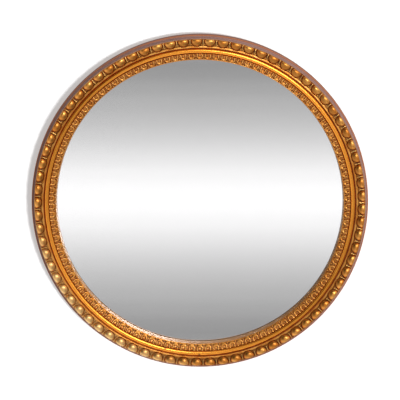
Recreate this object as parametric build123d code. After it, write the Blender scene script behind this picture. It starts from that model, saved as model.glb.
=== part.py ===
from build123d import *
import os
from math import cos, pi, radians, sin

# Round wall mirror in a gilt frame, in millimetres.
# The wall is the plane Y = 0 and the mirror faces -Y. +Z is up and the ring's axis is Y.
# A height is a distance in front of the ring's wooden back face, and an angle is counted
# from +X towards +Z, as seen from the front.

# Widths across the frame, from the outside in
outer_diameter = 550.0
ledge_width = 3.6          # the painted side steps in by this half way up
egg_band_setback = 0.5     # the egg strip stands back from the edge of its wooden seat
egg_band_width = 15.0
groove_width = 1.4         # between the egg strip and the round bead
bead_width = 8.0
bead_gap = 0.6             # between the round bead and the leaf strip
leaf_band_width = 10.3
sight_rim = 0.4            # wood left between the leaf strip and the sight edge
sight_flare = 1.8          # the sight edge opens by this much towards the front
rebate_lip = 6.6           # wood that covers the edge of the glass

# Depths
wall_gap = 5.0             # the wall buttons hold the wood this far off the wall
glass_thickness = 4.0
silvering_thickness = 0.2
paper_thickness = 0.3
board_thickness = 4.0
ledge_rise = 8.0           # side wall of the front layer, below the ledge
riser_height = 7.0         # side wall of the front layer, above the ledge
side_edge_chamfer = 0.8

# Wooden ring
segments_per_layer = 6
back_layer_turn = 30.0     # angle of the middle of the first segment of the back layer

# Glass and what lies behind it
glass_edge_gap = 1.5
board_edge_gap = 0.5
spacer_count = 4
spacer_length = 18.0
spacer_clearance = 0.05

# Egg-and-dart strips
egg_strip_count = 7
egg_pitch = 21.55
egg_radius = 7.6
egg_base_thickness = 2.5
egg_fillet_width = 3.2
egg_fillet_height = 6.0    # above the seat
egg_moat = 0.5             # between the fillet and the foot of an egg
dart_width = 3.0
dart_height = 7.6          # above the seat

# Round bead
bead_side_height = 2.3

# Leaf-and-pearl strips
leaf_strip_count = 6
leaf_pitch = 13.3
leaf_base_thickness = 2.5
leaf_fillet_width = 2.0
leaf_fillet_height = 4.3   # above the seat
pearls_per_repeat = 2
pearl_radius = 1.35
pearl_gap = 0.25           # between the pearls and the fillet
leaf_length = 8.4
leaf_width = 3.0
leaf_height = 1.3          # above the strip's base
leaf_inset = 0.6           # from the strip's inner edge

# Turn buttons that hold the back board
button_count = 8
button_turn = 22.5         # angle of the first button
button_pivot_inset = 9.0   # from the rebate's wall to the pivot
button_width = 11.0
button_reach = 16.5        # from the pivot to the middle of the button's round tip
button_thickness = 1.2
button_lift = 0.05         # running clearance under the button and under the screw's head
button_edge_round = 0.35
pivot_clearance = 0.06

# Wood screws
screw_radius = 1.6
screw_head_radius = 3.2
screw_head_height = 1.5
screw_head_round = 0.9
screw_slot_width = 0.8
screw_slot_depth = 0.7
screw_tip_cover = 1.0      # wood left in front of a screw's tip
screw_hole_clearance = 0.03

# Hanger at the top of the back
hanger_plate_width = 20.0
hanger_plate_length = 12.0
hanger_plate_thickness = 1.0
hanger_plate_corner = 3.0
hanger_pivot_inset = 15.0  # from the rebate's wall to the pivot of the ring
hanger_screw_spacing = 9.0
knuckle_length = 9.0
ring_wire_radius = 1.1
ring_inner_width = 18.0
ring_reach = 16.0          # from the pivot to the middle of the wire at the top
ring_corner_radius = 2.5
ring_clearance = 0.05

# Wall buttons at the bottom of the back
bumper_diameter = 14.0
bumper_edge_round = 1.0
bumper_inset = 17.5        # from the ring's outside to the middle of a button
bumper_turn = 38.0         # angle of each button from straight down

# Radii and heights that follow from the sizes above
outer_radius = outer_diameter / 2
seat_outer_radius = outer_radius - ledge_width
egg_outer_radius = seat_outer_radius - egg_band_setback
egg_inner_radius = egg_outer_radius - egg_band_width
bead_outer_radius = egg_inner_radius - groove_width
bead_inner_radius = bead_outer_radius - bead_width
leaf_outer_radius = bead_inner_radius - bead_gap
leaf_inner_radius = leaf_outer_radius - leaf_band_width
sight_front_radius = leaf_inner_radius - sight_rim
sight_radius = sight_front_radius - sight_flare
rebate_radius = sight_radius + rebate_lip
glass_radius = rebate_radius - glass_edge_gap
board_radius = rebate_radius - board_edge_gap

board_front = board_thickness
paper_front = board_front + paper_thickness
silvering_front = paper_front + silvering_thickness
rebate_depth = silvering_front + glass_thickness
ledge_height = rebate_depth + ledge_rise
seat_height = ledge_height + riser_height
screw_depth = rebate_depth - screw_tip_cover

button_pivot_radius = rebate_radius + button_pivot_inset
hanger_pivot_z = rebate_radius + hanger_pivot_inset
knuckle_radius = ring_wire_radius + ring_clearance + hanger_plate_thickness
hanger_screw_z = hanger_pivot_z - knuckle_radius - hanger_plate_length / 2


def depth(height):
    """Y of a height above the ring's wooden back face."""
    return -(wall_gap + height)


def turned(shape, angle):
    """A shape made on +X, carried round the ring to an angle."""
    return Rot(0, -angle, 0) * shape


def ring_sector(outline, middle, span):
    """A stretch of ring from an outline of (radius, height) points."""
    points = [(radius, depth(height)) for radius, height in outline]
    face = make_face(Polyline(*points, close=True))
    sector = revolve(face, Axis.Y, revolution_arc=span)
    return turned(sector, middle + span / 2) if span < 360 else sector


def disc(radius, back, thickness):
    """A round sheet behind the sight opening."""
    middle = Pos(0, depth(back + thickness / 2), 0)
    return middle * Rot(90, 0, 0) * Cylinder(radius, thickness)


def rod(radius, from_height, to_height):
    """A round rod along the ring's axis, at the middle of the ring."""
    length = to_height - from_height
    return Pos(0, depth(from_height + length / 2), 0) * Rot(90, 0, 0) * Cylinder(radius, length)


def wood_screw(under_head):
    """A slotted screw along Y, driven into the wood; the head sits behind under_head."""
    shank = rod(screw_radius, -under_head, screw_depth)
    head = rod(screw_head_radius, -under_head - screw_head_height, -under_head)
    head = fillet(head.edges().group_by(Axis.Y)[-1], screw_head_round)
    slot_y = depth(-under_head - screw_head_height + screw_slot_depth / 2)
    slot = Pos(0, slot_y, 0) * Box(3 * screw_head_radius, screw_slot_depth, screw_slot_width)
    return shank + head - slot


def screw_hole():
    return rod(screw_radius + screw_hole_clearance, 0, screw_depth + screw_hole_clearance)


def button_place(index):
    """The pivot of one turn button, at the ring's back."""
    return turned(Pos(button_pivot_radius, 0, 0), button_turn + index * 360 / button_count)


def hanger_screw_places():
    return [Pos(side * hanger_screw_spacing / 2, 0, hanger_screw_z) for side in (-1, 1)]


# Wooden ring: two layers of glued segments whose joints are staggered
def back_layer_segment(index):
    span = 360 / segments_per_layer
    outline = [
        (rebate_radius, 0),
        (outer_radius, 0),
        (outer_radius, rebate_depth),
        (rebate_radius, rebate_depth),
    ]
    segment = ring_sector(outline, back_layer_turn + index * span, span)
    for number in range(button_count):
        segment -= button_place(number) * screw_hole()
    for place in hanger_screw_places():
        segment -= place * screw_hole()
    return segment


def front_layer_segment():
    outline = [
        (sight_radius, rebate_depth),
        (outer_radius, rebate_depth),
        (outer_radius, ledge_height - side_edge_chamfer),
        (outer_radius - side_edge_chamfer, ledge_height),
        (seat_outer_radius, ledge_height),
        (seat_outer_radius, seat_height),
        (sight_front_radius, seat_height),
    ]
    return ring_sector(outline, 0, 360 / segments_per_layer)


# Egg-and-dart strips, pressed in a mould and bent round the seat
def egg():
    middle_radius = egg_inner_radius + egg_fillet_width + egg_moat + egg_radius
    base = seat_height + egg_base_thickness
    return Pos(middle_radius, depth(base), 0) * Sphere(egg_radius)


def dart():
    """A ridge between two eggs, highest along its middle."""
    base = depth(seat_height + egg_base_thickness)
    ridge = depth(seat_height + dart_height)
    foot = depth(seat_height)
    half = dart_width / 2
    outline = [(foot, -half), (base, -half), (ridge, 0), (base, half), (foot, half)]
    inner = egg_inner_radius + egg_fillet_width / 2
    face = Plane.YZ.offset(inner) * make_face(Polyline(*outline, close=True))
    return extrude(face, egg_outer_radius)


def egg_strip():
    """One strip, its middle on +X."""
    span = 360 / egg_strip_count
    middle_radius = (egg_inner_radius + egg_outer_radius) / 2
    eggs = max(1, round(2 * pi * middle_radius / egg_strip_count / egg_pitch))
    pitch = span / eggs
    fillet_radius = egg_inner_radius + egg_fillet_width
    base = seat_height + egg_base_thickness
    crown = seat_height + egg_fillet_height
    outline = [
        (egg_inner_radius, seat_height),
        (egg_outer_radius, seat_height),
        (egg_outer_radius, base),
        (fillet_radius, base),
        (fillet_radius, crown),
        (egg_inner_radius, crown),
    ]
    inside = egg_inner_radius + egg_fillet_width / 2
    under = seat_height + egg_base_thickness / 2
    over = base + 2 * egg_radius
    band = [(inside, under), (egg_outer_radius, under), (egg_outer_radius, over), (inside, over)]
    strip = ring_sector(outline, 0, span)
    blank = ring_sector(band, 0, span)
    raised = []
    for number in range(eggs):
        raised.append(turned(egg(), (number + 0.5) * pitch - span / 2) & blank)
    for number in range(eggs + 1):
        raised.append(turned(dart(), number * pitch - span / 2) & blank)
    return strip + raised


# Round bead, turned in one piece
def bead_ring():
    middle = (bead_inner_radius + bead_outer_radius) / 2
    spring = depth(seat_height + bead_side_height)
    top = depth(seat_height + bead_side_height + bead_width / 2)
    sides = Polyline(
        (bead_inner_radius, spring),
        (bead_inner_radius, depth(seat_height)),
        (bead_outer_radius, depth(seat_height)),
        (bead_outer_radius, spring),
    )
    crown = ThreePointArc((bead_outer_radius, spring), (middle, top), (bead_inner_radius, spring))
    return revolve(make_face([sides, crown]), Axis.Y, revolution_arc=360)


# Leaf-and-pearl strips next to the sight edge
def pearl():
    middle_radius = leaf_outer_radius - leaf_fillet_width - pearl_gap - pearl_radius
    return Pos(middle_radius, depth(seat_height + leaf_base_thickness), 0) * Sphere(pearl_radius)


def leaf():
    """A long low leaf that lies along the strip, with a rounded back."""
    middle_radius = leaf_inner_radius + leaf_inset + leaf_width / 2
    base = seat_height + leaf_base_thickness
    outline = SlotOverall(leaf_length, leaf_width)
    flat = Plane((middle_radius, depth(base), 0), x_dir=(0, 0, 1), z_dir=(0, -1, 0)) * outline
    return extrude(flat, leaf_height, taper=20)


def leaf_strip():
    """One strip, its middle on +X."""
    span = 360 / leaf_strip_count
    middle_radius = (leaf_inner_radius + leaf_outer_radius) / 2
    repeats = max(1, round(2 * pi * middle_radius / leaf_strip_count / leaf_pitch))
    pitch = span / repeats
    base = seat_height + leaf_base_thickness
    crown = seat_height + leaf_fillet_height
    outline = [
        (leaf_inner_radius, seat_height),
        (leaf_outer_radius, seat_height),
        (leaf_outer_radius, crown),
        (leaf_outer_radius - leaf_fillet_width, crown),
        (leaf_outer_radius - leaf_fillet_width, base),
        (leaf_inner_radius, base),
    ]
    strip = ring_sector(outline, 0, span)
    raised = []
    for number in range(repeats):
        raised.append(turned(leaf(), (number + 0.5) * pitch - span / 2))
    pearls = repeats * pearls_per_repeat
    for number in range(pearls):
        raised.append(turned(pearl(), (number + 0.5) * span / pearls - span / 2))
    return strip + raised


# Glass, and the cork blocks that centre it in the rebate
def glass_spacers():
    span = spacer_length / rebate_radius * 180 / pi
    inner = glass_radius + spacer_clearance
    outer = rebate_radius - spacer_clearance
    front = rebate_depth
    outline = [(inner, silvering_front), (outer, silvering_front), (outer, front), (inner, front)]
    blocks = []
    for number in range(spacer_count):
        blocks.append(ring_sector(outline, (number + 0.5) * 360 / spacer_count, span))
    return Compound(children=blocks)


# Turn buttons, each on its own screw
def turn_button(index):
    middle = Plane((-button_reach / 2, depth(-button_lift), 0), x_dir=(1, 0, 0), z_dir=(0, 1, 0))
    plate = extrude(middle * SlotCenterToCenter(button_reach, button_width), button_thickness)
    plate = fillet(plate.edges().group_by(Axis.Y)[-1], button_edge_round)
    hole = rod(screw_radius + pivot_clearance, -2 * button_thickness, button_thickness)
    return button_place(index) * (plate - hole)


def turn_button_screws():
    under_head = button_thickness + 2 * button_lift
    screws = [button_place(number) * wood_screw(under_head) for number in range(button_count)]
    return Compound(children=screws)


# Hanger: a strap with a rolled knuckle, and the ring that turns in it
def hanger_plate():
    middle_z = hanger_pivot_z - knuckle_radius - hanger_plate_length / 2
    back = Plane((0, depth(0), middle_z), x_dir=(1, 0, 0), z_dir=(0, 1, 0))
    outline = RectangleRounded(hanger_plate_width, hanger_plate_length, hanger_plate_corner)
    plate = extrude(back * outline, hanger_plate_thickness)
    pivot = Pos(0, depth(-knuckle_radius), hanger_pivot_z)
    knuckle = pivot * Rot(0, 90, 0) * Cylinder(knuckle_radius, knuckle_length)
    neck_length = 2 * knuckle_radius
    neck_middle = Pos(0, depth(-hanger_plate_thickness / 2), hanger_pivot_z - neck_length / 2)
    neck = neck_middle * Box(knuckle_length, hanger_plate_thickness, neck_length)
    bore = pivot * Rot(0, 90, 0) * Cylinder(ring_wire_radius + ring_clearance, 2 * knuckle_length)
    strap = plate + knuckle + neck - bore
    for place in hanger_screw_places():
        strap -= place * rod(screw_radius + screw_hole_clearance, -2 * knuckle_radius, 0)
    return strap


def hanger_ring():
    """A D-shaped ring, its straight side in the knuckle and its round side up."""
    half = ring_inner_width / 2 + ring_wire_radius
    shoulder = ring_reach - half
    corner = ring_corner_radius
    turn = corner * (1 - cos(radians(45)))
    path = Wire(
        [
            Edge.make_line((-half + corner, 0, 0), (half - corner, 0, 0)),
            Edge.make_three_point_arc((half - corner, 0, 0), (half - turn, 0, turn), (half, 0, corner)),
            Edge.make_line((half, 0, corner), (half, 0, shoulder)),
            Edge.make_three_point_arc((half, 0, shoulder), (0, 0, ring_reach), (-half, 0, shoulder)),
            Edge.make_line((-half, 0, shoulder), (-half, 0, corner)),
            Edge.make_three_point_arc((-half, 0, corner), (turn - half, 0, turn), (corner - half, 0, 0)),
        ]
    )
    section = Plane((0, 0, 0), z_dir=(1, 0, 0)) * Circle(ring_wire_radius)
    ring = sweep(section, path=path)
    return Pos(0, depth(-knuckle_radius), hanger_pivot_z) * ring


def hanger_screws():
    screws = [place * wood_screw(hanger_plate_thickness) for place in hanger_screw_places()]
    return Compound(children=screws)


# Rubber buttons that keep the lower edge off the wall
def wall_bumper(side):
    button = rod(bumper_diameter / 2, -wall_gap, 0)
    button = fillet(button.edges().group_by(Axis.Y)[0], bumper_edge_round)
    radius = outer_radius - bumper_inset
    angle = radians(-90 + side * bumper_turn)
    return Pos(radius * cos(angle), 0, radius * sin(angle)) * button


front_segment = front_layer_segment()
eggs_and_darts = egg_strip()
leaves_and_pearls = leaf_strip()
nodes = {
    "bead_ring": bead_ring(),
    "mirror_glass": disc(glass_radius, silvering_front, glass_thickness),
    "silvering": disc(glass_radius, paper_front, silvering_thickness),
    "backing_paper": disc(board_radius, board_front, paper_thickness),
    "back_board": disc(board_radius, 0, board_thickness),
    "glass_spacers": glass_spacers(),
    "turn_button_screws": turn_button_screws(),
    "hanger_plate": hanger_plate(),
    "hanger_ring": hanger_ring(),
    "hanger_screws": hanger_screws(),
    "wall_bumper_left": wall_bumper(-1),
    "wall_bumper_right": wall_bumper(1),
}
for number in range(segments_per_layer):
    nodes[f"back_ring_segment_{number + 1}"] = back_layer_segment(number)
    front_turn = back_layer_turn + (number + 0.5) * 360 / segments_per_layer
    nodes[f"front_ring_segment_{number + 1}"] = turned(front_segment, front_turn)
for number in range(egg_strip_count):
    strip_turn = (number + 0.5) * 360 / egg_strip_count
    nodes[f"egg_strip_{number + 1}"] = turned(eggs_and_darts, strip_turn)
for number in range(leaf_strip_count):
    strip_turn = (number + 0.5) * 360 / leaf_strip_count
    nodes[f"leaf_strip_{number + 1}"] = turned(leaves_and_pearls, strip_turn)
for number in range(button_count):
    nodes[f"turn_button_{number + 1}"] = turn_button(number)

os.makedirs("parts", exist_ok=True)
for name, shape in nodes.items():
    export_step(shape, f"parts/{name}.step")
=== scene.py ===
import math

import bmesh
import bpy
import numpy as np
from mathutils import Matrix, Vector


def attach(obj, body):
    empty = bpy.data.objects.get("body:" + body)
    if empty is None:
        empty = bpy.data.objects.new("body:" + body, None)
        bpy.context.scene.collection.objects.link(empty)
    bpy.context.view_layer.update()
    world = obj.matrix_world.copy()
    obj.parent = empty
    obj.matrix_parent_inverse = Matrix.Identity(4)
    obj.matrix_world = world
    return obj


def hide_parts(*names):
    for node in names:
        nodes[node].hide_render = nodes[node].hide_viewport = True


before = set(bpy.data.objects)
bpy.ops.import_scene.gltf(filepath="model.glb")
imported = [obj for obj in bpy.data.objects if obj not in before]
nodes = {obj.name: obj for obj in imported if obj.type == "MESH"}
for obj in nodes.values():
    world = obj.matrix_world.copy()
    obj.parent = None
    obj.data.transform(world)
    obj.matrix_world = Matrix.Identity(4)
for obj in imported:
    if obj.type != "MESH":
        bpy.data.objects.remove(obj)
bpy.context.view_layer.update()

# The room. The mirror hangs on a white wall, seen from its front only, in the plane Y = 0, and faces -Y.
# A hard lamp at its right throws its shadow to the left, and a soft one glows above it at its right.
# The glass reflects a white card with soft level bands, two metres in front of it.
view_distance = 16.0
view_width = 0.6548
view_elevation = math.radians(9.5)
view_centre = Vector((0.0002, 0.0, -0.0013))
shadow_lamp_turn = math.radians(-13)
shadow_lamp_tilt = math.radians(21.5)
key_lamp_strength = 1.1
wall_lamp_strength = 2.4
shadow_lamp_spread = math.radians(8.5)
glow_lamp_turn = math.radians(58)
glow_lamp_tilt = math.radians(29)
glow_lamp_distance = 2.5
glow_lamp_size = 1.1
glow_lamp_power = 26.0
side_lamp_turn = math.radians(44)
side_lamp_tilt = math.radians(62)
side_lamp_spread = math.radians(40)
side_lamp_strength = 1.6
rear_lamp_turn = math.radians(250)
rear_lamp_tilt = math.radians(155)
rear_lamp_spread = math.radians(25)
rear_lamp_strength = 1.3
room_light = 0.42
front_side = (0.2, -0.92, 0.33)
front_glow = (0.95, 0.95, 0.95)
side_glow = (0.9, 0.9, 0.9)
back_glow = (0.3, 0.3, 0.3)
wall_reach = 3.0
floor_height = -1.2
card_distance = 2.0
card_half_width = 0.42
card_half_height = 0.5
band_height = 0.5


def put(tree, kind, inputs=None, **settings):
    """Adds a node to a tree. An input takes a value, or the socket that feeds it."""
    node = tree.nodes.new(kind)
    for name, value in settings.items():
        setattr(node, name, value)
    for name, value in (inputs or {}).items():
        if isinstance(value, bpy.types.NodeSocket):
            tree.links.new(value, node.inputs[name])
        else:
            node.inputs[name].default_value = value
    return node


def maths(tree, operation, *values):
    """The result of a Math node."""
    return put(tree, "ShaderNodeMath", dict(enumerate(values)), operation=operation).outputs[0]


def spread(tree, value, low, high, to_low=0.0, to_high=1.0):
    """A value brought from one range to another, smoothly, and held at the ends."""
    inputs = {"Value": value, "From Min": low, "From Max": high, "To Min": to_low, "To Max": to_high}
    return put(tree, "ShaderNodeMapRange", inputs, interpolation_type="SMOOTHSTEP").outputs[0]


def ramp(tree, value, stops):
    """A colour ramp through (place, colour) stops, where a colour may be one grey level."""
    node = put(tree, "ShaderNodeValToRGB", {"Fac": value})
    elements = node.color_ramp.elements
    while len(elements) < len(stops):
        elements.new(1.0)
    for element, (place, colour) in zip(elements, stops):
        element.position = place
        element.color = (*colour, 1) if isinstance(colour, tuple) else (colour,) * 3 + (1,)
    return node.outputs["Color"]


def blend(tree, share, first, second):
    """Two colours mixed."""
    inputs = {0: share}
    for place, colour in ((6, first), (7, second)):
        inputs[place] = (*colour, 1) if isinstance(colour, tuple) else colour
    return put(tree, "ShaderNodeMix", inputs, data_type="RGBA").outputs[2]


def aimed(lamp, name, turn, tilt, distance=1.0):
    """Places a lamp at an angle round the mirror's axis and a tilt from it, pointing at the mirror."""
    out = Vector((math.sin(tilt) * math.cos(turn), -math.cos(tilt), math.sin(tilt) * math.sin(turn)))
    piece = bpy.data.objects.new(name, lamp)
    bpy.context.scene.collection.objects.link(piece)
    piece.location = out * distance
    piece.rotation_euler = (-out).to_track_quat("-Z", "Y").to_euler()
    piece.visible_camera = False
    return piece


camera_data = bpy.data.cameras.new("camera")
camera_data.sensor_width = 36.0
camera_data.lens = camera_data.sensor_width * view_distance / view_width
camera = bpy.data.objects.new("camera", camera_data)
bpy.context.scene.collection.objects.link(camera)
to_camera = Vector((0, -math.cos(view_elevation), math.sin(view_elevation)))
camera.location = view_centre + to_camera * view_distance
camera.rotation_euler = (-to_camera).to_track_quat("-Z", "Y").to_euler()
bpy.context.scene.camera = camera
bpy.context.scene.view_settings.view_transform = "Standard"

hard_lamps = {}
for name, strength in (("key_lamp", key_lamp_strength), ("wall_lamp", wall_lamp_strength)):
    lamp = bpy.data.lights.new(name, "SUN")
    lamp.energy = strength
    lamp.angle = shadow_lamp_spread
    hard_lamps[name] = aimed(lamp, name, shadow_lamp_turn, shadow_lamp_tilt)
    hard_lamps[name].visible_glossy = False

glow_lamp = bpy.data.lights.new("glow_lamp", "AREA")
glow_lamp.shape = "DISK"
glow_lamp.size = glow_lamp_size
glow_lamp.energy = glow_lamp_power
aimed(glow_lamp, "glow_lamp", glow_lamp_turn, glow_lamp_tilt, glow_lamp_distance).visible_diffuse = False

side_lamp = bpy.data.lights.new("side_lamp", "SUN")
side_lamp.energy = side_lamp_strength
side_lamp.angle = side_lamp_spread
aimed(side_lamp, "side_lamp", side_lamp_turn, side_lamp_tilt).visible_glossy = False

rear_lamp = bpy.data.lights.new("rear_lamp", "SUN")
rear_lamp.energy = rear_lamp_strength
rear_lamp.angle = rear_lamp_spread
aimed(rear_lamp, "rear_lamp", rear_lamp_turn, rear_lamp_tilt)

world = bpy.data.worlds.new("room")
bpy.context.scene.world = world
world.use_nodes = True
tree = world.node_tree
tree.nodes.clear()
toward = put(tree, "ShaderNodeTexCoord").outputs["Generated"]
direction = put(tree, "ShaderNodeSeparateXYZ", {0: toward}).outputs
ahead = put(tree, "ShaderNodeVectorMath", {0: toward, 1: front_side}, operation="DOT_PRODUCT")
in_front = spread(tree, ahead.outputs["Value"], 0.82, 0.98)
sideways = spread(tree, direction["Y"], -0.3, -0.05)
behind = spread(tree, direction["Y"], 0.1, 0.6)
low_right = maths(tree, "MULTIPLY", direction["Z"], -0.42)
low_right = maths(tree, "MULTIPLY_ADD", direction["X"], 0.9, low_right)
diagonal = maths(tree, "MULTIPLY", direction["Z"], 0.77)
diagonal = maths(tree, "MULTIPLY_ADD", direction["X"], 0.64, diagonal)
squared = maths(tree, "MULTIPLY", diagonal, diagonal)
half_dark = maths(tree, "MULTIPLY_ADD", squared, 0.9, spread(tree, low_right, -0.5, 0.5, 0.06, 0.4))
half_dark = maths(tree, "ADD", half_dark, spread(tree, diagonal, -0.12, -0.5, 0.0, 0.5))
seen_in_gloss = blend(tree, in_front, half_dark, front_glow)
seen_in_gloss = blend(tree, sideways, seen_in_gloss, side_glow)
seen_in_gloss = blend(tree, behind, seen_in_gloss, back_glow)
rays = put(tree, "ShaderNodeLightPath").outputs
in_gloss = maths(tree, "MAXIMUM", rays["Is Glossy Ray"], rays["Is Transmission Ray"])
plain = blend(tree, rays["Is Camera Ray"], (room_light,) * 3, (1.0, 1.0, 1.0))
light = blend(tree, in_gloss, plain, seen_in_gloss)
shine = put(tree, "ShaderNodeBackground", {"Color": light, "Strength": 1.0})
put(tree, "ShaderNodeOutputWorld", {"Surface": shine.outputs[0]})


def sheet_of(name, corners):
    """One flat square of the room, which throws no shadow and isn't met by reflections."""
    mesh = bpy.data.meshes.new(name)
    mesh.from_pydata(corners, [], [(0, 1, 2, 3)])
    piece = bpy.data.objects.new(name, mesh)
    bpy.context.scene.collection.objects.link(piece)
    piece.visible_shadow = piece.visible_diffuse = False
    piece.visible_glossy = piece.visible_transmission = False
    return piece


def upright(y, low, high, left, right):
    """The corners of an upright square that faces -Y."""
    return [(left, y, low), (right, y, low), (right, y, high), (left, y, high)]


wall = sheet_of("wall", upright(0, floor_height, wall_reach, -wall_reach, wall_reach))
floor_corners = [(-wall_reach, -2 * wall_reach, floor_height), (wall_reach, -2 * wall_reach, floor_height),
                 (wall_reach, 2 * wall_reach, floor_height), (-wall_reach, 2 * wall_reach, floor_height)]
floor = sheet_of("floor", floor_corners)
brightest = -card_distance * math.tan(view_elevation)
card = sheet_of("card", upright(-card_distance, brightest - card_half_height, brightest + card_half_height,
                                -card_half_width, card_half_width))
card.visible_camera = False
card.visible_glossy = card.visible_transmission = True
lit_wall = bpy.data.collections.new("lit_by_wall_lamp")
lit_wall.objects.link(wall)
hard_lamps["wall_lamp"].light_linking.receiver_collection = lit_wall
not_wall = bpy.data.collections.new("not_lit_by_side_lamp")
not_wall.objects.link(wall)
not_wall.collection_objects[0].light_linking.link_state = "EXCLUDE"
bpy.data.objects["side_lamp"].light_linking.receiver_collection = not_wall

for stage_piece, grey, glow, one_sided in ((wall, 0.55, 0.36, True), (floor, 0.85, 0.5, False)):
    paint = bpy.data.materials.new(stage_piece.name + "_paint")
    paint.use_nodes = True
    tree = paint.node_tree
    tree.nodes.clear()
    matt = put(tree, "ShaderNodeBsdfDiffuse", {"Color": (grey, grey, grey, 1)})
    lit = put(tree, "ShaderNodeEmission", {"Strength": glow})
    surface = put(tree, "ShaderNodeAddShader", {0: matt.outputs[0], 1: lit.outputs[0]})
    if one_sided:
        behind = put(tree, "ShaderNodeNewGeometry").outputs["Backfacing"]
        clear = put(tree, "ShaderNodeBsdfTransparent")
        surface = put(tree, "ShaderNodeMixShader", {0: behind, 1: surface.outputs[0], 2: clear.outputs[0]})
    put(tree, "ShaderNodeOutputMaterial", {"Surface": surface.outputs[0]})
    stage_piece.data.materials.append(paint)

paint = bpy.data.materials.new("card_bands")
paint.use_nodes = True
tree = paint.node_tree
tree.nodes.clear()
card_place = put(tree, "ShaderNodeTexCoord").outputs["Object"]
card_height = put(tree, "ShaderNodeSeparateXYZ", {0: card_place}).outputs["Z"]
off_bright = maths(tree, "SUBTRACT", card_height, brightest + 0.004)
off_bright = maths(tree, "PINGPONG", off_bright, band_height / 2)
band_levels = [(0.0, 1.1), (0.088, 1.07), (0.147, 1.02), (0.206, 0.984), (0.265, 0.91), (0.324, 0.85),
               (0.383, 0.778), (0.44, 0.712), (0.5, 0.657), (0.56, 0.598), (0.62, 0.554), (0.68, 0.509),
               (0.736, 0.484), (0.795, 0.435), (0.854, 0.409), (0.913, 0.362), (1.0, 0.33)]
bands = ramp(tree, maths(tree, "DIVIDE", off_bright, band_height / 2), band_levels)
lit = put(tree, "ShaderNodeEmission", {"Color": bands, "Strength": 1.0})
put(tree, "ShaderNodeOutputMaterial", {"Surface": lit.outputs[0]})
card.data.materials.append(paint)

# The back layer of the wooden ring: six segments, end to end, with the grain along each.
# The wood is bare pine behind, with reddish-brown gloss paint on its rim and a little round the corner.
ring_back = 0.005
ring_outer = 0.275
segment_count = 6
bare_pine = (0.52, 0.33, 0.165)
dark_pine = (0.33, 0.175, 0.075)
warm_pine = (0.46, 0.26, 0.12)
rim_paint = (0.28, 0.088, 0.052)
rim_paint_worn = (0.5, 0.2, 0.1)
rim_paint_worn_and_lit = (0.55, 0.19, 0.055)
# A mauve dust colour that also stands in for the paint's sheen: painted sheen as well as dust.
dust_and_sheen = (0.37, 0.225, 0.19)
paint_wrap = 0.0022


def finish_of(name):
    """A new material with its shader, ready for what feeds it."""
    material = bpy.data.materials.new(name)
    material.use_nodes = True
    tree = material.node_tree
    tree.nodes.clear()
    shader = put(tree, "ShaderNodeBsdfPrincipled")
    put(tree, "ShaderNodeOutputMaterial", {"Surface": shader.outputs[0]})
    return material, tree, shader


def feed(tree, shader, **sources):
    """Sets or links the shader's sockets. Their names are written with _ for a space."""
    for name, value in sources.items():
        socket = shader.inputs[name.replace("_", " ")]
        if isinstance(value, bpy.types.NodeSocket):
            tree.links.new(value, socket)
        else:
            socket.default_value = (*value, 1) if isinstance(value, tuple) else value


def place_on(tree, turn=0.0):
    """Object coordinates, turned back round the mirror's axis by an angle."""
    source = put(tree, "ShaderNodeTexCoord").outputs["Object"]
    return put(tree, "ShaderNodeMapping", {"Vector": source, "Rotation": (0, turn, 0)}).outputs[0]


def noise(tree, place, size, detail=3.0, stretch=(1, 1, 1)):
    """Noise whose patches are about as large as size, in metres, and stretched along an axis."""
    if stretch != (1, 1, 1):
        share = tuple(1 / s for s in stretch)
        place = put(tree, "ShaderNodeVectorMath", {0: place, 1: share}, operation="MULTIPLY").outputs[0]
    inputs = {"Vector": place, "Scale": 1 / size, "Detail": detail}
    return put(tree, "ShaderNodeTexNoise", inputs).outputs["Fac"]


def ring_place(tree):
    """Distance from the mirror's axis, and height in front of the ring's back face."""
    place = put(tree, "ShaderNodeTexCoord").outputs["Object"]
    flat = put(tree, "ShaderNodeVectorMath", {0: place, 1: (1, 0, 1)}, operation="MULTIPLY").outputs[0]
    radius = put(tree, "ShaderNodeVectorMath", {0: flat}, operation="LENGTH").outputs["Value"]
    depth = put(tree, "ShaderNodeSeparateXYZ", {0: place}).outputs["Y"]
    return radius, maths(tree, "SUBTRACT", maths(tree, "MULTIPLY", depth, -1.0), ring_back)


def bumped(tree, height, depth, strength):
    """The normal of a surface with fine relief."""
    inputs = {"Height": height, "Distance": depth, "Strength": strength}
    return put(tree, "ShaderNodeBump", inputs).outputs[0]


def pine(tree, turn, tone):
    """Planed pine with its grain along X of the turned place: colour and relief."""
    place = place_on(tree, turn)
    bend = noise(tree, place, 0.09, 1.0)
    lines = noise(tree, place, 0.0035, 4.0, (22, 1, 1))
    broad = noise(tree, place, 0.02, 2.0, (9, 1, 1))
    rings = maths(tree, "SINE", maths(tree, "MULTIPLY_ADD", broad, 26.0, maths(tree, "MULTIPLY", bend, 6.0)))
    shade = maths(tree, "MULTIPLY_ADD", rings, 0.22, lines)
    palest = tuple(1.12 * c for c in bare_pine)
    colour = ramp(tree, shade, [(0.3, dark_pine), (0.62, bare_pine), (0.85, palest)])
    return blend(tree, tone, colour, warm_pine), lines


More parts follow.
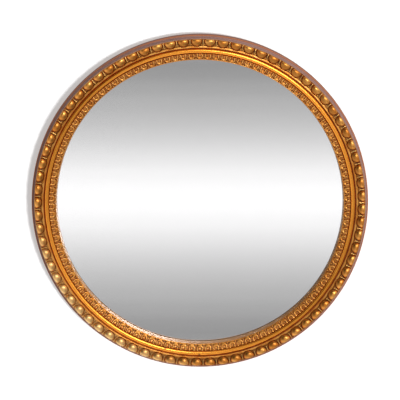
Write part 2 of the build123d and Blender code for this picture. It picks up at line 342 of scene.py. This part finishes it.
def rim_layers(tree, place, radius, height):
    """The rim's paint: rubbed through on its corner, with a painted highlight there,
    and dust with painted sheen on the step and where it faces up.
    """
    patches = noise(tree, place, 0.03, 3.0)
    scuffs = spread(tree, noise(tree, place, 0.004, 6.0), 0.58, 0.72)
    streaks = noise(tree, place, 0.0015, 4.0)
    paint = blend(tree, patches, tuple(0.75 * c for c in rim_paint), tuple(1.25 * c for c in rim_paint))
    paint = blend(tree, maths(tree, "MULTIPLY", scuffs, 0.4), paint, rim_paint_worn)
    facing = put(tree, "ShaderNodeTexCoord").outputs["Normal"]
    facing_up = put(tree, "ShaderNodeSeparateXYZ", {0: facing}).outputs["Z"]
    # Dust and painted sheen: faces that look up, and the step, are painted in the mauve dust colour.
    top_dust_and_sheen = maths(tree, "MULTIPLY", spread(tree, facing_up, 0.1, 0.9), 0.15)
    step_dust_and_sheen = spread(tree, radius, 0.2738, 0.2732)
    step_dust_and_sheen = maths(tree, "MULTIPLY", step_dust_and_sheen, spread(tree, height, 0.0158, 0.0163))
    dust = maths(tree, "MAXIMUM", top_dust_and_sheen, maths(tree, "MULTIPLY", step_dust_and_sheen, 0.85))
    dust = maths(tree, "MULTIPLY", dust, maths(tree, "MULTIPLY_ADD", streaks, 0.7, 0.6))
    paint = blend(tree, dust, paint, dust_and_sheen)
    # Wear and a painted highlight: the step's outer corner is painted a paler orange, for its lit edge as
    # well as rubbed paint.
    corner = spread(tree, radius, 0.2740, 0.2743)
    corner = maths(tree, "MULTIPLY", corner, spread(tree, height, 0.0152, 0.0157))
    corner_wear_and_highlight = maths(tree, "MULTIPLY", corner, maths(tree, "MULTIPLY_ADD", streaks, 0.6, 0.5))
    paint = blend(tree, corner_wear_and_highlight, paint, rim_paint_worn_and_lit)
    rough = maths(tree, "MULTIPLY_ADD", dust, 0.25, maths(tree, "MULTIPLY_ADD", scuffs, 0.2, 0.42))
    return paint, rough, streaks


def rim_finish(name, turn, tone):
    """Paint on the rim and bare wood elsewhere. turn is the grain's angle, and tone its share of warmth."""
    material, tree, shader = finish_of(name)
    wood, grain = pine(tree, turn, tone)
    place = place_on(tree)
    radius, height = ring_place(tree)
    ragged = maths(tree, "MULTIPLY_ADD", noise(tree, place, 0.006, 4.0), 0.004, -0.002)
    past = maths(tree, "ADD", radius, ragged)
    cover = spread(tree, past, ring_outer - paint_wrap - 0.0004, ring_outer - paint_wrap)
    paint, rough, brushed = rim_layers(tree, place, radius, height)
    relief = blend(tree, cover, grain, brushed)
    rough = maths(tree, "MULTIPLY", cover, maths(tree, "SUBTRACT", rough, 0.75))
    rough = maths(tree, "ADD", rough, 0.75)
    feed(tree, shader, Base_Color=blend(tree, cover, wood, paint), Specular_IOR_Level=0.3,
         Roughness=rough, Normal=bumped(tree, relief, 0.00025, 0.5))
    return material


def dress(name, material):
    """Gives a CAD node its finish."""
    mesh = nodes[name].data
    mesh.materials.clear()
    mesh.materials.append(material)


for k in range(segment_count):
    centre = math.radians(30 + 60 * k)
    tone = (0.1, 0.5, 0.25, 0.6, 0.0, 0.4)[k]
    dress(f"back_ring_segment_{k + 1}", rim_finish(f"back_layer_{k + 1}", centre - math.pi / 2, tone))

# The front layer of the wooden ring: six more segments that cross the joints of the back ones.
# Its step is painted like the rim. The face under the ornament and the sight edge are gilt over red clay.
gold_leaf = (0.76, 0.345, 0.075)
gold_deep = (0.55, 0.18, 0.022)
gold_painted_shade = (0.31, 0.115, 0.016)
gold_painted_lit = (0.95, 0.62, 0.26)
gold_worn_and_lit = (0.98, 0.56, 0.15)
clay = (0.15, 0.048, 0.01)
groove_gold = (0.6, 0.16, 0.015)
lip_gold = (0.54, 0.26, 0.075)
lip_gold_dull = (0.38, 0.15, 0.03)
seat_height = 0.0235


def gilt(tree, shader, hollow, wear_and_highlight, painted_shade, dust, place, patch):
    """Gold leaf over red clay, painted paler towards the lower left of the ring as painted light.
    Its four shares after the shader, each 0 to 1, are of dirt with painted shade, of wear with a painted
    highlight, of painted shade, and of dust with painted sheen."""
    tarnish = noise(tree, place, patch, 4.0)
    fine = noise(tree, place, 0.0011, 3.0)
    leaf = blend(tree, spread(tree, tarnish, 0.35, 0.68), gold_leaf, gold_deep)
    # Painted light: outside the fillet, the lower left of the ring is painted paler gold, as if lit from
    # there.
    where = put(tree, "ShaderNodeSeparateXYZ", {0: place}).outputs
    low_left = maths(tree, "MULTIPLY", maths(tree, "ADD", where["X"], where["Z"]), -0.707)
    outer = spread(tree, ring_place(tree)[0], 0.2582, 0.2592)
    painted_light_low_left = maths(tree, "MULTIPLY", spread(tree, low_left, 0.19, 0.26, 0.0, 0.75), outer)
    leaf = blend(tree, painted_light_low_left, leaf, gold_painted_lit)
    # Painted shade: the inner slope is painted darker brown, less so where the painted light falls.
    painted_shade = maths(tree, "MULTIPLY", painted_shade, maths(tree, "MULTIPLY_ADD", painted_light_low_left, -0.6, 1.0))
    leaf = blend(tree, painted_shade, leaf, gold_painted_shade)
    # Wear and a painted highlight on the proud parts.
    leaf = blend(tree, wear_and_highlight, leaf, gold_worn_and_lit)
    breaks = maths(tree, "MULTIPLY", spread(tree, maths(tree, "MULTIPLY", tarnish, fine), 0.33, 0.42), 0.6)
    leaf = blend(tree, breaks, leaf, gold_deep)
    # Dirt with painted shade in the hollows, then dust with painted sheen.
    colour = blend(tree, dust, blend(tree, hollow, leaf, clay), dust_and_sheen)
    dull = maths(tree, "MAXIMUM", hollow, dust)
    rough = maths(tree, "MULTIPLY_ADD", tarnish, 0.16, maths(tree, "MULTIPLY_ADD", dull, 0.3, 0.25))
    metal = maths(tree, "MULTIPLY_ADD", dull, -0.7, 0.97)
    feed(tree, shader, Base_Color=colour, Metallic=metal, Roughness=rough,
         Coat_Weight=0.15, Coat_Roughness=0.2, Normal=bumped(tree, fine, 0.00006, 0.6))


def front_finish(name):
    """Painted step outside, gilt face and sight edge inside."""
    material, tree, shader = finish_of(name)
    place = place_on(tree)
    radius, height = ring_place(tree)
    paint, rough, brushed = rim_layers(tree, place, radius, height)
    tarnish = noise(tree, place, 0.03, 3.0)
    gold = blend(tree, tarnish, lip_gold, lip_gold_dull)
    face = blend(tree, spread(tree, radius, 0.2358, 0.2364), gold, groove_gold)
    outside = spread(tree, radius, 0.2707, 0.2709)
    metal = maths(tree, "MULTIPLY", maths(tree, "SUBTRACT", 1.0, outside), 0.15)
    rough = maths(tree, "ADD", maths(tree, "MULTIPLY", outside, maths(tree, "SUBTRACT", rough, 0.4)), 0.4)
    feed(tree, shader, Base_Color=blend(tree, outside, face, paint), Metallic=metal, Roughness=rough,
         Specular_IOR_Level=0.3, Normal=bumped(tree, brushed, 0.0002, 0.4))
    return material


front_paint = front_finish("front_layer")
for k in range(segment_count):
    dress(f"front_ring_segment_{k + 1}", front_paint)

# The egg-and-dart border: seven strips of pressed composition, eleven eggs each, glued end to end.
# A narrow split dart stands between each two eggs, and a round fillet runs along the inner edge.
egg_strip_count = 7
eggs_in_strip = 11
egg_strip_inner = 0.2559
egg_strip_outer = 0.2709
egg_pitch = 2 * math.pi / (egg_strip_count * eggs_in_strip)
egg_floor = 0.0278
egg_centre = 0.2670
egg_half_width = 0.0093
egg_inner_reach = 0.0090
egg_outer_reach = 0.0046
egg_top = 0.0334
inner_fillet_centre = 0.25695
inner_fillet_half = 0.00105
inner_fillet_top = 0.0296
dart_top = 0.0318
dart_half = 0.0009
dart_slit = 0.00025
dart_slit_depth = 0.0004
dart_fall = 0.0016
lip_rise = 0.0014
hollow_depth = 0.0012
strip_unevenness = 0.0002
strip_patch = 0.007


def smooth(low, high, value):
    """0 below low and 1 above high, and smooth between."""
    t = np.clip((value - low) / (high - low), 0, 1)
    return t * t * (3 - 2 * t)


def mound(distance, half, power=2.0, root=0.5):
    """A rounded section: 1 on its line and 0 past its half width."""
    return np.maximum(0, 1 - np.abs(distance / half) ** power) ** root


def egg_relief(turn, radius):
    """Height of the border at an angle from the egg's middle and a distance from the axis."""
    across = np.abs(turn) * radius
    gap_middle = egg_pitch / 2 * radius - across
    inner_part = (egg_centre - radius) / egg_inner_reach
    outer_part = (radius - egg_centre) / egg_outer_reach
    along = np.where(radius < egg_centre, inner_part, outer_part)
    off = np.hypot(across / egg_half_width, along)
    egg = egg_floor + (egg_top - egg_floor) * mound(off, 1.0, 2.5, 0.6)
    fillet = mound(radius - inner_fillet_centre, inner_fillet_half, 3.0, 0.4)
    fillet = egg_floor + (inner_fillet_top - egg_floor) * fillet
    corner = smooth(0.2612, 0.2588, radius) * smooth(1.04, 1.12, off)
    spandrel = egg_floor + (inner_fillet_top - 0.0002 - egg_floor) * corner
    outward = np.clip((radius - egg_centre) / (egg_strip_outer - egg_centre), 0, 1)
    start = smooth(0.2590, 0.2606, radius)
    dart = egg_floor + (dart_top - egg_floor) * mound(gap_middle, dart_half, 1.6, 0.7) * start
    dart = dart - dart_slit_depth * smooth(dart_slit, 0.0, gap_middle) * start - dart_fall * outward**2
    lip = egg_floor + lip_rise * smooth(egg_strip_outer - 0.0012, egg_strip_outer - 0.0006, radius)
    return np.maximum.reduce([egg, fillet, spandrel, dart, lip, np.full_like(radius, egg_floor)])


def relief_cell(name, pitch, inner, outer, columns, rows, relief, base):
    """One repeat of a moulded border at angle 0: its relief on top, two side walls and a flat underside.
    The attribute hollow says how far each point lies below what is round it."""
    turns = np.linspace(-pitch / 2, pitch / 2, columns + 1)
    radii = np.linspace(inner, outer, rows + 1)
    turn, radius = np.meshgrid(turns, radii, indexing="ij")
    height = relief(turn, radius)
    round_about = height.copy()
    for _ in range(14):
        padded = np.pad(round_about, ((1, 1), (0, 0)), mode="wrap")
        padded = np.pad(padded, ((0, 0), (1, 1)), mode="edge")
        round_about = (padded[:-2, 1:-1] + padded[2:, 1:-1] + padded[1:-1, :-2] + padded[1:-1, 2:]) / 4
    hollow = np.clip((round_about - height) / hollow_depth, -1, 1)
    foot = np.full((columns + 1, 1), base)
    radius = np.hstack([radius[:, :1], radius, radius[:, -1:]])
    height = np.hstack([foot, height, foot])
    turn = np.hstack([turn[:, :1], turn, turn[:, -1:]])
    hollow = np.hstack([np.full((columns + 1, 1), 0.4), hollow, np.full((columns + 1, 1), 0.4)])
    places = np.stack([radius * np.cos(turn), -(height + ring_back), radius * np.sin(turn)], axis=-1)
    across = radius.shape[1]
    faces = []
    for i in range(columns):
        for j in range(across):
            a, b = i * across + j, i * across + (j + 1) % across
            faces.append((a, b, b + across, a + across))
    mesh = bpy.data.meshes.new(name)
    mesh.from_pydata(places.reshape(-1, 3).tolist(), [], faces)
    depths = mesh.attributes.new("hollow", "FLOAT", "POINT").data
    depths.foreach_set("value", hollow.ravel().astype(np.float32))
    return mesh


def ring_repeat_tree():
    """Geometry nodes that copy a cell round the mirror's axis and make the copies slightly uneven."""
    tree = bpy.data.node_groups.new("repeat_round_the_ring", "GeometryNodeTree")
    sockets = tree.interface
    sockets.new_socket("Geometry", in_out="INPUT", socket_type="NodeSocketGeometry")
    sockets.new_socket("Copies", in_out="INPUT", socket_type="NodeSocketInt")
    sockets.new_socket("First Angle", in_out="INPUT", socket_type="NodeSocketFloat")
    sockets.new_socket("Angle Step", in_out="INPUT", socket_type="NodeSocketFloat")
    sockets.new_socket("Unevenness", in_out="INPUT", socket_type="NodeSocketFloat")
    sockets.new_socket("Patch Size", in_out="INPUT", socket_type="NodeSocketFloat")
    sockets.new_socket("Finish", in_out="INPUT", socket_type="NodeSocketMaterial")
    sockets.new_socket("Geometry", in_out="OUTPUT", socket_type="NodeSocketGeometry")
    given = put(tree, "NodeGroupInput").outputs
    points = put(tree, "GeometryNodePoints", {"Count": given["Copies"]})
    index = put(tree, "GeometryNodeInputIndex").outputs[0]
    angle = maths(tree, "MULTIPLY_ADD", index, given["Angle Step"], given["First Angle"])
    turned = put(tree, "ShaderNodeCombineXYZ", {"Y": maths(tree, "MULTIPLY", angle, -1.0)})
    rotation = put(tree, "FunctionNodeEulerToRotation", {0: turned.outputs[0]})
    inputs = {"Points": points.outputs[0], "Instance": given["Geometry"], "Rotation": rotation.outputs[0]}
    copies = put(tree, "GeometryNodeInstanceOnPoints", inputs)
    solid = put(tree, "GeometryNodeRealizeInstances", {0: copies.outputs[0]})
    joined = put(tree, "GeometryNodeMergeByDistance", {"Geometry": solid.outputs[0], "Distance": 0.000004})
    scale = maths(tree, "DIVIDE", 1.0, given["Patch Size"])
    fine = put(tree, "ShaderNodeTexNoise", {"Scale": scale, "Detail": 2.0})
    lift = maths(tree, "MULTIPLY", maths(tree, "SUBTRACT", fine.outputs["Fac"], 0.5), given["Unevenness"])
    normal = put(tree, "GeometryNodeInputNormal").outputs[0]
    offset = put(tree, "ShaderNodeVectorMath", {0: normal, "Scale": lift}, operation="SCALE")
    moved = put(tree, "GeometryNodeSetPosition", {"Geometry": joined.outputs[0], "Offset": offset.outputs[0]})
    done = put(tree, "GeometryNodeSetMaterial", {"Geometry": moved.outputs[0], "Material": given["Finish"]})
    put(tree, "NodeGroupOutput", {"Geometry": done.outputs[0]})
    return tree


round_the_ring = ring_repeat_tree()


def repeated(name, cell, copies, first, step, unevenness, patch, finish, sharp=40):
    """A plain closed mesh made of a cell's copies round the ring."""
    host = bpy.data.objects.new(name + "_host", cell)
    bpy.context.scene.collection.objects.link(host)
    modifier = host.modifiers.new("repeat", "NODES")
    modifier.node_group = round_the_ring
    values = {"Copies": copies, "First Angle": first, "Angle Step": step, "Unevenness": unevenness,
              "Patch Size": patch, "Finish": finish}
    for item in round_the_ring.interface.items_tree:
        if item.in_out == "INPUT" and item.name in values:
            modifier[item.identifier] = values[item.name]
    host.update_tag()
    bpy.context.view_layer.update()
    evaluated = host.evaluated_get(bpy.context.evaluated_depsgraph_get())
    mesh = bpy.data.meshes.new_from_object(evaluated)
    mesh.name = name
    bpy.data.objects.remove(host)
    shape = bmesh.new()
    shape.from_mesh(mesh)
    bmesh.ops.holes_fill(shape, edges=[e for e in shape.edges if e.is_boundary], sides=0)
    bmesh.ops.recalc_face_normals(shape, faces=shape.faces)
    shape.to_mesh(mesh)
    shape.free()
    mesh.polygons.foreach_set("use_smooth", [True] * len(mesh.polygons))
    mesh.set_sharp_from_angle(angle=math.radians(sharp))
    piece = bpy.data.objects.new(name, mesh)
    bpy.context.scene.collection.objects.link(piece)
    return piece


def border_finish(name, dirt_and_shade_share, deep_from, deep_to, wear_and_highlight_from, patch, slope, shade_share, dust_and_sheen_from):
    """Gilt composition: dirt and painted shade in its hollows, wear and a painted highlight where it stands
    out, painted shade down its inner slope, and dust with painted sheen on its outer wall.
    slope says how far from the axis the painted shade ends, begins and is full."""
    material, tree, shader = finish_of(name)
    place = place_on(tree)
    hollow = put(tree, "ShaderNodeAttribute", attribute_name="hollow").outputs["Fac"]
    # Dirt and painted shade: what lies below its surroundings goes towards the red clay colour.
    loose = maths(tree, "MULTIPLY_ADD", noise(tree, place, 0.0025, 3.0), 0.5, -0.25)
    dirt_and_shade = spread(tree, maths(tree, "ADD", hollow, loose), deep_from, deep_to, 0.0, dirt_and_shade_share)
    # Wear and a painted highlight: the parts standing proud are painted a paler, brighter gold.
    proud_wear_and_highlight = spread(tree, maths(tree, "MULTIPLY", hollow, -1.0), wear_and_highlight_from, 1.0)
    radius = ring_place(tree)[0]
    # Painted shade: darker down the inner slope, from start to full, but not below low_side.
    low_side, start, full = slope
    painted_shade = maths(tree, "MULTIPLY", spread(tree, radius, start, full, 0.0, shade_share),
                  spread(tree, radius, low_side, low_side + 0.0006))
    # Dust and painted sheen: the strip's outer wall is painted in the mauve dust colour.
    dust = spread(tree, radius, dust_and_sheen_from, dust_and_sheen_from + 0.0003)
    gilt(tree, shader, dirt_and_shade, proud_wear_and_highlight, painted_shade, dust, place, patch)
    return material


egg_cell = relief_cell("egg_cell", egg_pitch, egg_strip_inner, egg_strip_outer, 72, 48,
                       egg_relief, seat_height)
egg_gold = border_finish("egg_composition_gold", dirt_and_shade_share=0.95, deep_from=0.25, deep_to=1.1, wear_and_highlight_from=0.6,
                         patch=0.014, slope=(0.2582, 0.2664, 0.2626), shade_share=0.85, dust_and_sheen_from=0.2704)
for k in range(egg_strip_count):
    first = egg_pitch * (eggs_in_strip * k + 0.5)
    strip = repeated(f"egg_and_dart_{k + 1}", egg_cell, eggs_in_strip, first, egg_pitch,
                     strip_unevenness, strip_patch, egg_gold)
    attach(strip, "frame")
    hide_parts(f"egg_strip_{k + 1}")

# The round bead between the two borders: turned wood, burnished gold, with a few knocks along it.
# It stands in the groove of the front layer, between straight sides.
bead_inner = 0.2465
bead_outer = 0.2545
bead_side = 0.0258
bead_crown = 0.0298
bead_sectors = 36
bead_step = 2 * math.pi / bead_sectors
bead_unevenness = 0.00022
bead_patch = 0.012
bead_gold = (0.95, 0.36, 0.035)
bead_side_shaded_gold = (0.6, 0.16, 0.012)
knock_colour = (0.12, 0.04, 0.02)
bead_knocks = ((256.7, 0.2481, 0.0022), (261.9, 0.2467, 0.0016), (266.1, 0.2474, 0.0014),
               (269.8, 0.2529, 0.0026), (58.0, 0.2532, 0.0014), (205.0, 0.2480, 0.0012))


def bead_relief(turn, radius):
    """A half-round section on straight sides."""
    middle = (bead_inner + bead_outer) / 2
    half = (bead_outer - bead_inner) / 2
    return bead_side + (bead_crown - bead_side) * np.sqrt(np.maximum(0, 1 - ((radius - middle) / half) ** 2))


def bead_finish():
    """Burnished gold, red clay with painted shade at its sides, and red clay in the knocks."""
    material, tree, shader = finish_of("bead_gold")
    place = place_on(tree)
    height = ring_place(tree)[1]
    # Red clay and painted shade: the sides below the crown are painted a darker red gold.
    side = spread(tree, height, bead_crown - 0.0002, bead_side + 0.0002)
    worn = noise(tree, place, 0.018, 3.0)
    side = maths(tree, "MULTIPLY", side, maths(tree, "MULTIPLY_ADD", worn, 0.5, 0.65))
    knocked = 0.0
    for angle, knock_radius, size in bead_knocks:
        at = (knock_radius * math.cos(math.radians(angle)), -ring_back - bead_crown + 0.0012,
              knock_radius * math.sin(math.radians(angle)))
        away = put(tree, "ShaderNodeVectorMath", {0: place, 1: at}, operation="DISTANCE").outputs["Value"]
        knocked = maths(tree, "MAXIMUM", spread(tree, away, size, 0.5 * size), knocked)
    colour = blend(tree, maths(tree, "MULTIPLY", worn, 0.5), bead_gold, gold_deep)
    colour = blend(tree, maths(tree, "MULTIPLY", side, 0.85), colour, bead_side_shaded_gold)
    colour = blend(tree, maths(tree, "MULTIPLY", knocked, 0.85), colour, knock_colour)
    rough = maths(tree, "MULTIPLY_ADD", worn, 0.18, maths(tree, "MULTIPLY_ADD", knocked, 0.3, 0.16))
    fine = noise(tree, place, 0.0016, 3.0)
    feed(tree, shader, Base_Color=colour, Metallic=0.95, Roughness=rough,
         Coat_Weight=0.2, Coat_Roughness=0.12, Normal=bumped(tree, fine, 0.00005, 0.5))
    return material


bead_cell = relief_cell("bead_cell", bead_step, bead_inner, bead_outer, 20, 22, bead_relief, seat_height)
bead = repeated("turned_bead", bead_cell, bead_sectors, 0.0, bead_step,
                bead_unevenness, bead_patch, bead_finish(), 60)
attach(bead, "frame")
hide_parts("bead_ring")

# The leaf-and-pearl border beside the glass: six strips of pressed composition, nineteen repeats each.
# Each repeat is a tongue open towards the bead, with a pearl at either side and a small bud before the next.
leaf_strip_count = 6
leaves_in_strip = 19
leaf_inner = 0.2356
leaf_outer = 0.2459
leaf_pitch = 2 * math.pi / (leaf_strip_count * leaves_in_strip)
leaf_floor = 0.0238
leaf_slope = 0.28
tongue_centre = 0.2420
tongue_line = 0.0039
tongue_half = 0.0016
outer_fillet_centre = 0.24495
outer_fillet_half = 0.00095
outer_fillet_top = 0.0279
tongue_rise = 0.0024
lobe_row = 0.2418
lobe_rise = 0.0019
pearl_across = 0.0038
pearl_row = 0.2429
pearl_half = 0.0016
pearl_rise = 0.0034
bud_row = 0.2378
bud_half = 0.0012
bud_rise = 0.0022
rail_half = 0.0010
rail_rise = 0.0014
leaf_unevenness = 0.0001
leaf_patch = 0.004


def leaf_relief(turn, radius):
    """Height of the inner border at an angle from a tongue's middle and a distance from the axis."""
    across = np.abs(turn) * radius
    gap_middle = leaf_pitch / 2 * radius - across
    inward = np.maximum(0, tongue_centre - radius)
    off = np.hypot(across, inward * 0.95)
    floor = leaf_floor + leaf_slope * (radius - leaf_inner)
    tongue = tongue_rise * mound(off - tongue_line, tongue_half, 2.2, 0.5)
    lobe = lobe_rise * smooth(lobe_row, lobe_row - 0.0018, radius)
    lobe = lobe * smooth(tongue_line, tongue_line - 0.0012, off)
    pearl_off = np.hypot((across - pearl_across) * 1.1, radius - pearl_row)
    pearl = pearl_rise * mound(pearl_off, pearl_half, 2.0, 0.5)
    bud_off = np.hypot(gap_middle * 1.2, (radius - bud_row) * 0.7)
    bud = bud_rise * mound(bud_off, bud_half)
    rail = rail_rise * mound(radius - leaf_inner - 0.0005, rail_half)
    fillet = mound(radius - outer_fillet_centre, outer_fillet_half, 3, 0.4)
    fillet = leaf_floor + (outer_fillet_top - leaf_floor) * fillet
    return np.maximum(fillet, floor + np.maximum.reduce([tongue, lobe, pearl, bud, rail]))


leaf_cell = relief_cell("leaf_cell", leaf_pitch, leaf_inner, leaf_outer, 30, 26, leaf_relief, seat_height)
leaf_gold = border_finish("leaf_composition_gold", dirt_and_shade_share=0.9, deep_from=0.15, deep_to=0.9, wear_and_highlight_from=0.25,
                          patch=0.01, slope=(0.2340, 0.2425, 0.2395), shade_share=0.2, dust_and_sheen_from=0.28)
for k in range(leaf_strip_count):
    first = leaf_pitch * (leaves_in_strip * k + 0.5)
    strip = repeated(f"leaf_and_pearl_{k + 1}", leaf_cell, leaves_in_strip, first, leaf_pitch,
                     leaf_unevenness, leaf_patch, leaf_gold)
    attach(strip, "frame")
    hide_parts(f"leaf_strip_{k + 1}")

# The looking-glass: a round pane of 4 mm glass, silvered behind and sealed with grey paint.
# Four cork blocks centre it in the rebate, and brown paper keeps the board from the paint.
pane_radius = 0.2385
pane_back = 0.00455
pane_front = 0.0085
pane_arris = 0.0005
pane_sides = 240


def turned(name, profile, sides, material):
    """A closed round solid from its profile: distance from the axis and height, from back to front."""
    turns = [2 * math.pi * k / sides for k in range(sides)]
    places = [(r * math.cos(t), -(h + ring_back), r * math.sin(t)) for r, h in profile for t in turns]
    faces = []
    for i in range(len(profile) - 1):
        for k in range(sides):
            a, b = i * sides + k, i * sides + (k + 1) % sides
            faces.append((a, b, b + sides, a + sides))
    faces += [tuple(range(sides))[::-1], tuple(range(len(places) - sides, len(places)))]
    mesh = bpy.data.meshes.new(name)
    mesh.from_pydata(places, [], faces)
    mesh.materials.append(material)
    shape = bmesh.new()
    shape.from_mesh(mesh)
    bmesh.ops.recalc_face_normals(shape, faces=shape.faces)
    shape.to_mesh(mesh)
    shape.free()
    piece = bpy.data.objects.new(name, mesh)
    bpy.context.scene.collection.objects.link(piece)
    return piece


material, tree, shader = finish_of("clear_glass")
iron = noise(tree, place_on(tree), 0.12, 1.0)
feed(tree, shader, Base_Color=blend(tree, iron, (0.985, 0.98, 0.98), (0.995, 0.99, 0.99)), Roughness=0.0,
     IOR=1.52, Transmission_Weight=1.0)
pane_profile = [(pane_radius - pane_arris, pane_back), (pane_radius, pane_back + pane_arris),
                (pane_radius, pane_front - pane_arris), (pane_radius - pane_arris, pane_front)]
pane = turned("glass_pane", pane_profile, pane_sides, material)
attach(pane, "frame")
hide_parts("mirror_glass")

material, tree, shader = finish_of("silver_and_sealing_paint")
place = place_on(tree)
height = ring_place(tree)[1]
front = spread(tree, height, 0.00435, 0.00445)
specks = spread(tree, noise(tree, place, 0.0012, 4.0), 0.72, 0.78)
old = blend(tree, maths(tree, "MULTIPLY", specks, 0.12), (0.955, 0.96, 0.965), (0.45, 0.42, 0.38))
sealing = blend(tree, noise(tree, place, 0.02, 4.0), (0.13, 0.14, 0.15), (0.2, 0.21, 0.22))
feed(tree, shader, Base_Color=blend(tree, front, sealing, old), Metallic=front,
     Roughness=maths(tree, "MULTIPLY_ADD", front, -0.6, 0.6))
dress("silvering", material)

material, tree, shader = finish_of("brown_paper")
place = place_on(tree)
fibres = noise(tree, place, 0.0012, 5.0, (4, 1, 1))
feed(tree, shader, Base_Color=blend(tree, fibres, (0.36, 0.22, 0.11), (0.5, 0.33, 0.18)), Roughness=0.85,
     Normal=bumped(tree, fibres, 0.0001, 0.5))
dress("backing_paper", material)

material, tree, shader = finish_of("cork")
place = place_on(tree)
grains = put(tree, "ShaderNodeTexVoronoi", {"Vector": place, "Scale": 700.0}).outputs
grain = blend(tree, grains["Color"], (0.42, 0.24, 0.1), (0.2, 0.1, 0.045))
feed(tree, shader, Base_Color=grain, Roughness=0.8, Normal=bumped(tree, grains["Distance"], 0.0003, 0.6))
dress("glass_spacers", material)

# The back board: birch plywood, cut round, flush with the ring and held by the turn buttons.
# Old age has darkened it, and the damp wall has left a few stains.
material, tree, shader = finish_of("birch_plywood")
place = place_on(tree)
flow = noise(tree, place, 0.11, 2.0, (1, 1, 3.5))
fibres = noise(tree, place, 0.0016, 4.0, (1, 1, 26))
figure = maths(tree, "SINE", maths(tree, "MULTIPLY", flow, 75.0))
shade = maths(tree, "MULTIPLY_ADD", figure, 0.09, fibres)
birch = ramp(tree, shade, [(0.3, (0.37, 0.215, 0.105)), (0.5, (0.55, 0.37, 0.2)), (0.75, (0.64, 0.45, 0.26))])
stains = spread(tree, noise(tree, place, 0.07, 5.0), 0.56, 0.7)
aged = blend(tree, maths(tree, "MULTIPLY", stains, 0.35), birch, (0.22, 0.13, 0.07))
radius, height = ring_place(tree)
layers = maths(tree, "SINE", maths(tree, "MULTIPLY", height, 2 * math.pi / 0.0013))
edge = spread(tree, radius, 0.2392, 0.2394)
aged = blend(tree, maths(tree, "MULTIPLY", edge, spread(tree, layers, -0.2, 0.2)), aged, (0.24, 0.13, 0.06))
feed(tree, shader, Base_Color=aged, Roughness=maths(tree, "MULTIPLY_ADD", fibres, 0.2, 0.55),
     Normal=bumped(tree, shade, 0.00015, 0.4))
dress("back_board", material)

# Eight brass turn buttons hold the board in, each on its own round-headed steel screw.
# They are stamped from sheet and can swing clear of the board.
turn_button_count = 8


def metal_finish(name, colour, dull, patch, dull_share):
    """Bare or plated metal with stains, and fine scratches in its roughness."""
    material, tree, shader = finish_of(name)
    place = place_on(tree)
    stains = spread(tree, noise(tree, place, patch, 5.0), 0.42, 0.68)
    scratches = noise(tree, place, 0.0004, 3.0, (14, 1, 1))
    mixed = blend(tree, maths(tree, "MULTIPLY", stains, dull_share), colour, dull)
    rough = maths(tree, "MULTIPLY_ADD", stains, 0.12, maths(tree, "MULTIPLY_ADD", scratches, 0.15, 0.28))
    feed(tree, shader, Base_Color=mixed, Metallic=1.0, Roughness=rough,
         Normal=bumped(tree, scratches, 0.00004, 0.4))
    return material


brass = metal_finish("aged_brass", (0.66, 0.44, 0.18), (0.42, 0.25, 0.1), 0.009, 0.6)
steel = metal_finish("zinc_plated_steel", (0.6, 0.61, 0.62), (0.42, 0.4, 0.37), 0.005, 0.6)
for k in range(turn_button_count):
    dress(f"turn_button_{k + 1}", brass)
dress("turn_button_screws", steel)

# The hanger: a steel strap folded round a D-shaped wire ring, on two screws at the top of the back.
# The ring swings in the strap's knuckle.
hanger_steel = metal_finish("hanger_steel", (0.55, 0.54, 0.52), (0.36, 0.3, 0.24), 0.012, 0.6)
dress("hanger_plate", hanger_steel)
dress("hanger_ring", hanger_steel)
dress("hanger_screws", steel)

# Two rubber bumpers hold the lower edge off the wall and keep it from marking the paint.
material, tree, shader = finish_of("black_rubber")
place = place_on(tree)
dust = spread(tree, noise(tree, place, 0.003, 5.0), 0.4, 0.75)
feed(tree, shader, Base_Color=blend(tree, dust, (0.022, 0.021, 0.02), (0.075, 0.07, 0.062)),
     Roughness=maths(tree, "MULTIPLY_ADD", dust, 0.25, 0.5), Normal=bumped(tree, dust, 0.0001, 0.4))
for side in ("left", "right"):
    dress(f"wall_bumper_{side}", material)
